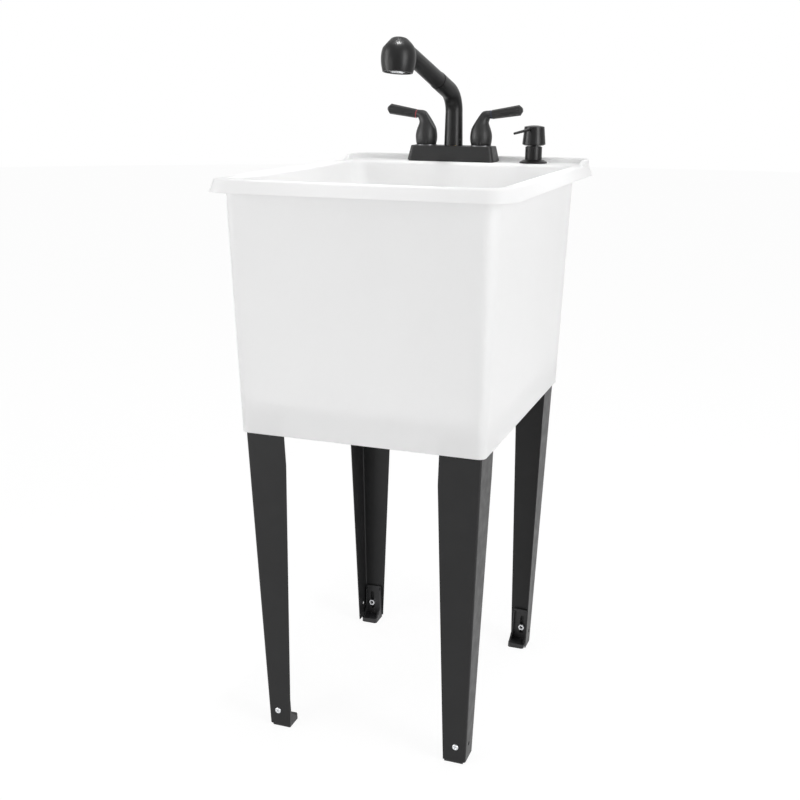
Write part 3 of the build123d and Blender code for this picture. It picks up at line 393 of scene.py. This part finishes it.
    braid = Finish("braided_nylon")
    braid.colour((0.030, 0.030, 0.032), 0.35, 900.0)
    braid.roughness(0.45, 0.60, 400.0)
    braid.grain(1400.0, 0.08 * MM, 2.0, 0.8)
    FINISHES["hose_braid"] = braid
    braid.slot = "nut_plastic"

    bottle = Finish("milky_polyethylene")
    bottle.colour((0.72, 0.735, 0.72), 0.04, 24.0)
    bottle.roughness(0.30, 0.44, 90.0)
    bottle.grain(700.0, 0.03 * MM)
    bottle.set(Transmission_Weight=0.15)
    dress(bottle, "bottle_plastic", "soap_bottle", "dip_tube", "pump_cylinder")


# ---------------------------------------------------------------- detail pieces
SHARP_EDGE = math.radians(38)

THREAD_STEPS = 28                         # sections in one turn of a thread
THREAD_ROOT = 0.46                        # half widths, as shares of the pitch
THREAD_CREST = 0.1

BOLT_HEAD_RADIUS = 4.9 * MM
BOLT_DOME = 0.55 * MM
BOLT_TURN = 0.5                           # radians that each cross recess is turned
BOLT_AROUND = 64
BOLT_SHANK = 13.4                         # millimetres from the head's top to the thread's end
# radius and depth in millimetres, from the head's edge down to the tip
BOLT_SIDE = ((4.75, 0.75), (4.9, 1.1), (4.9, 2.6), (3.0, 2.6), (3.0, 6.2), (2.75, 6.6),
             (2.75, BOLT_SHANK), (2.2, 14.0), (0.1, 14.0))
CROSS_WIDTH = 0.62 * MM                   # half width of an arm of the recess
CROSS_REACH = 2.5 * MM
CROSS_DEPTH = 1.3 * MM
CROSS_SIDE_SLOPE = 0.18 * MM              # how wide the slope is at an arm's side
CROSS_END_SLOPE = 0.9 * MM

SPRING_WIRE = 0.7 * MM
SPRING_TURNS = 5

HOSE_RADIUS = 6.2 * MM
HOSE_RIB = 2.4 * MM
HOSE_RIB_DEPTH = 0.35 * MM
HOSE_RIB_FORM = (0, 0.35, 1, 0.35)        # shares of that depth over one rib
HOSE_IN_SPOUT = 4.6 * MM                  # from the hose's hidden start to the wand's tail, at rest
HOSE_IN_WAND = 30.0 * MM                  # how far it reaches into the wand

SCREEN_PITCH = 0.9 * MM
SCREEN_WIRE = 0.13 * MM                   # radius of a wire
SCREEN_REACH = 10.6 * MM
# radius and height in millimetres, across the rolled edge
SCREEN_EDGE = ((10.3, 0.02), (10.4, 0.35), (10.75, 0.5), (11.1, 0.35), (11.3, 0.02))

NOZZLE_ROWS = ((14.6, 18), (18.6, 24))    # ring radius in millimetres, and how many
# radius and height in millimetres, from the plate up and into the mouth
NOZZLE_SIDE = ((1.15, 0.0), (0.95, 0.35), (0.8, 0.85), (0.5, 0.9), (0.42, 0.2))

WIRE_CORNERS = ((-1, 0), (0, 1), (1, 0), (0, -1))


def piece(name, build, look, body):
    """A finished mesh that wears a look from FINISHES and rides on a body, if one is named."""
    bmesh.ops.recalc_face_normals(build, faces=build.faces)
    mesh = bpy.data.meshes.new(name)
    build.to_mesh(mesh)
    build.free()
    mesh.shade_smooth()
    mesh.set_sharp_from_angle(angle=SHARP_EDGE)
    mesh.materials.append(FINISHES[look].material)
    made = bpy.data.objects.new(name, mesh)
    bpy.context.scene.collection.objects.link(made)
    if body:
        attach(made, body)
    return made


def flat_end(node, toward, corner=(0, 0)):
    """Frame in the middle of a CAD node's flat faces that look one way, Z outward.

    Corner picks one solid of several by the signs of its x and y.
    """
    middle = Vector()
    normal = Vector()
    total = 0.0
    for face in nodes[node].data.polygons:
        if face.normal.dot(Vector(toward)) < 0.98:
            continue
        if face.center.x * corner[0] < 0 or face.center.y * corner[1] < 0:
            continue
        middle += face.center * face.area
        normal += face.normal * face.area
        total += face.area
    turn = normal.to_track_quat("Z", "Y").to_matrix().to_4x4()
    return Matrix.Translation(middle / total) @ turn


def band(build, rows):
    """Quads between neighbouring closed rows of points."""
    for first, second in zip(rows, rows[1:]):
        for k in range(len(first)):
            after = (k + 1) % len(first)
            build.faces.new((first[k], second[k], second[after], first[after]))


def ring_row(build, place, radius, height, around):
    """Points round an axis; height is a number or a function of the point."""
    row = []
    for k in range(around):
        angle = 2 * math.pi * k / around
        x = radius * math.cos(angle)
        y = radius * math.sin(angle)
        z = height(x, y) if callable(height) else height
        row.append(build.verts.new(place @ Vector((x, y, z))))
    return row


def cap_ends(build, rows):
    """Close a band at its first and last row."""
    for end in (rows[0], rows[-1]):
        build.faces.new(end)


def add_thread(build, place, radius, pitch, length, height):
    """A screw thread's ridge, wound up from a place and run out at both ends."""
    count = round(length / pitch * THREAD_STEPS)
    rows = []
    for k in range(count + 1):
        angle = 2 * math.pi * k / THREAD_STEPS
        crest = height * min(1.0, 2 * k / THREAD_STEPS, 2 * (count - k) / THREAD_STEPS)
        row = []
        for out, up in ((-height, -THREAD_ROOT), (crest, -THREAD_CREST), (crest, THREAD_CREST),
                        (-height, THREAD_ROOT)):
            point = Vector(((radius + out) * math.cos(angle), (radius + out) * math.sin(angle),
                            pitch * (k / THREAD_STEPS + up)))
            row.append(build.verts.new(place @ point))
        rows.append(row)
    band(build, rows)
    cap_ends(build, rows)


def make_thread(name, node, radius, pitch, low, high, height, look):
    """Thread round the upright axis of a CAD node of the stand, between two heights."""
    lowest, highest = (Vector(corner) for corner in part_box(node))
    middle = (lowest + highest) / 2
    build = bmesh.new()
    place = Matrix.Translation((middle.x, middle.y, low + pitch / 2))
    add_thread(build, place, radius, pitch, high - low - pitch, height)
    piece(name, build, look, "stand")


def recessed_top(x, y):
    """Top of a pan head: a shallow dome with a cross recess."""
    def arm(along, across):
        sides = min(1.0, max(0.0, (CROSS_WIDTH - abs(across)) / CROSS_SIDE_SLOPE))
        ends = min(1.0, max(0.0, (CROSS_REACH - abs(along)) / CROSS_END_SLOPE))
        return sides * ends

    dome = -BOLT_DOME * (math.hypot(x, y) / BOLT_HEAD_RADIUS) ** 3
    return dome - CROSS_DEPTH * max(arm(x, y), arm(y, x))


def make_foot_bolts():
    """Four M6 pan-head bolts, one through each foot."""
    build = bmesh.new()
    for side in (-1, 1):
        for end in (-1, 1):
            face = flat_end("foot_bolts", (0, end, 0), (side, end))
            place = face @ Matrix.Rotation(BOLT_TURN * side, 4, "Z")
            rows = [ring_row(build, place, (0.15 + 0.27 * k) * MM, recessed_top, BOLT_AROUND)
                    for k in range(17)]
            rows += [ring_row(build, place, radius * MM, -depth * MM, BOLT_AROUND)
                     for radius, depth in BOLT_SIDE]
            band(build, rows)
            cap_ends(build, rows)
            start = place @ Matrix.Translation((0, 0, -BOLT_SHANK * MM))
            add_thread(build, start, 2.72 * MM, 1.0 * MM, 6.6 * MM, 0.26 * MM)
    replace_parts(piece("recessed_foot_bolts", build, "zinc", "stand"), "foot_bolts")


def eased(share):
    """A share from 0 to 1 that starts and ends slowly."""
    return share * share * (3 - 2 * share)


def make_pump_spring():
    """A coil with closing ends, in the place of the pump's spring."""
    low, high = (Vector(corner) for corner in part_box("pump_spring"))
    middle = (low + high) / 2
    radius = (high.x - low.x) / 2 - SPRING_WIRE
    rise = high.z - low.z - 2 * SPRING_WIRE
    steps = 40 * SPRING_TURNS
    corners = 10
    build = bmesh.new()
    rows = []
    for k in range(steps + 1):
        angle = 2 * math.pi * SPRING_TURNS * k / steps
        height = low.z + SPRING_WIRE + rise * eased(k / steps)
        row = []
        for corner in range(corners):
            turn = 2 * math.pi * corner / corners
            out = radius + SPRING_WIRE * math.cos(turn)
            row.append(build.verts.new((middle.x + out * math.cos(angle),
                                        middle.y + out * math.sin(angle),
                                        height + SPRING_WIRE * math.sin(turn))))
        rows.append(row)
    band(build, rows)
    cap_ends(build, rows)
    coil = piece("coiled_pump_spring", build, "zinc", "stand")
    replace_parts(coil, "pump_spring")
    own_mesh(coil)


def gathered_share(pulled_out, gathered, reach):
    """Where a point of the hose lies while it is gathered, from its place when pulled out."""
    low, high = 0.0, 1.0
    for _ in range(40):
        share = (low + high) / 2
        if gathered * share + reach * eased(share) < pulled_out:
            low = share
        else:
            high = share
    return share


def make_hose():
    """Braided hose as it lies gathered inside the spout and into the wand's tail, with the wand at
    rest.
    """
    joint = next(one for one in frame["joints"] if one["name"] == "wand_pull_out")
    pull = Vector(joint["axis"]).normalized()
    reach = joint["range_m"][1]
    place = flat_end("wand_handle", -pull)
    middle = place.translation
    tail = min(vertex.co.dot(pull) for vertex in nodes["wand_handle"].data.vertices)
    middle += pull * (tail - HOSE_IN_SPOUT - middle.dot(pull))
    gathered = HOSE_IN_SPOUT + HOSE_IN_WAND
    steps = len(HOSE_RIB_FORM) * round((gathered + reach) / HOSE_RIB)
    build = bmesh.new()
    rows = []
    for k in range(steps + 1):
        share = gathered_share((gathered + reach) * k / steps, gathered, reach)
        radius = HOSE_RADIUS - HOSE_RIB_DEPTH * HOSE_RIB_FORM[k % len(HOSE_RIB_FORM)]
        ring = place.copy()
        ring.translation = middle + pull * gathered * share
        rows.append(ring_row(build, ring, radius, 0, 24))
    band(build, rows)
    cap_ends(build, rows)
    hose = piece("wand_hose", build, "hose_braid", None)
    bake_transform(hose)


def make_aerator_screen():
    """Woven wire across the aerator, inside a rolled edge."""
    place = flat_end("aerator", (0, 0, -1))
    build = bmesh.new()
    lines = round(SCREEN_REACH / SCREEN_PITCH)
    for turn in (0, 1):
        turned = place @ Matrix.Rotation(turn * math.pi / 2, 4, "Z")
        for line in range(-lines + 1, lines):
            across = line * SCREEN_PITCH
            half = math.sqrt(SCREEN_REACH ** 2 - across ** 2)
            count = max(2, round(4 * half / SCREEN_PITCH))
            rows = []
            for k in range(count + 1):
                along = -half + 2 * half * k / count
                weave = math.cos(math.pi * along / SCREEN_PITCH) * (-1) ** (line + turn)
                middle = SCREEN_WIRE * (1.0 + 0.9 * weave)
                corners = [Vector((along, across + a * SCREEN_WIRE, middle + b * SCREEN_WIRE))
                           for a, b in WIRE_CORNERS]
                rows.append([build.verts.new(turned @ corner) for corner in corners])
            band(build, rows)
    band(build, [ring_row(build, place, radius * MM, height * MM, 96)
                 for radius, height in SCREEN_EDGE])
    piece("aerator_screen", build, "bright_ring", "wand")


def make_spray_nozzles():
    """Two rings of rubber nozzles on the spray plate."""
    place = flat_end("spray_plate", (0, 0, -1))
    build = bmesh.new()
    for row_radius, count in NOZZLE_ROWS:
        for k in range(count):
            angle = 2 * math.pi * k / count
            spot = place @ Matrix.Translation((row_radius * MM * math.cos(angle),
                                               row_radius * MM * math.sin(angle), 0))
            rows = [ring_row(build, spot, radius * MM, height * MM, 14)
                    for radius, height in NOZZLE_SIDE]
            band(build, rows)
            build.faces.new(rows[-1])
    piece("spray_nozzles", build, "button_black", "wand")


def make_threads():
    """The threads that show: both supplies, the dispenser's shank and the drain's body."""
    for side in SIDES:
        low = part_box(side + "_valve")[0][2]
        make_thread(side + "_supply_thread", side + "_valve", 10.4 * MM, 1.81 * MM,
                    low + 1 * MM, low + 23 * MM, 0.35 * MM, "brass")
    make_thread("soap_shank_thread", "soap_shank", 12.4 * MM, 2.4 * MM,
                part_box("soap_bottle")[1][2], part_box("soap_nut")[0][2], 0.5 * MM, "nut_plastic")
    make_thread("drain_thread", "drain_flange", 23.4 * MM, 2.2 * MM,
                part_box("slip_nut")[1][2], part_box("drain_locknut")[0][2], 0.55 * MM,
                "drain_plastic")


make_camera()
make_world()
make_floor()
make_lamps()
make_finishes()
make_foot_bolts()
make_pump_spring()
make_hose()
make_aerator_screen()
make_spray_nozzles()
make_threads()

bpy.context.scene.view_settings.view_transform = "Standard"
